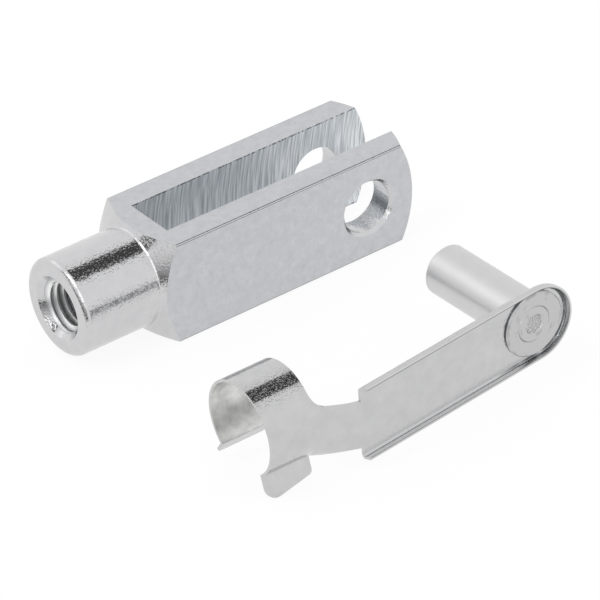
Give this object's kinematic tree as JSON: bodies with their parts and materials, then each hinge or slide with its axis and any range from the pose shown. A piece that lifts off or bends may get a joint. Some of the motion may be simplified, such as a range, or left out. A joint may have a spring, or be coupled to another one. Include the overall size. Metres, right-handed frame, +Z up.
{
  "type": "clevis rod end with spring clip pin",
  "caption": "Threaded fork head milled from square bar, laid beside its spring clip, whose riveted pin closes the fork and whose hook snaps round the neck.",
  "frame": {"origin": "centre of the pin bore, on the axis of the rod that screws into the neck", "axes": "+X along the rod axis from the neck to the ears' tips, Y along the pin bore with the clip lying on the -Y side, +Z up; the fork lies on its flat side"},
  "size_m": [0.0714, 0.0707, 0.0205],
  "materials": {
    "fork_steel": "free-cutting steel, milled and turned, bright zinc plated, satin",
    "pin_steel": "turned steel pin, bright zinc plated, satin",
    "washer_steel": "turned steel washer, bright zinc plated",
    "clip_steel": "rolled spring strip, zinc plated, smooth and half glossy"
  },
  "bodies": {
    "root": {"clevis_fork": "fork_steel", "clevis_pin": "pin_steel", "rivet_washer": "washer_steel", "spring_clip": "clip_steel"}
  },
  "joints": []
}
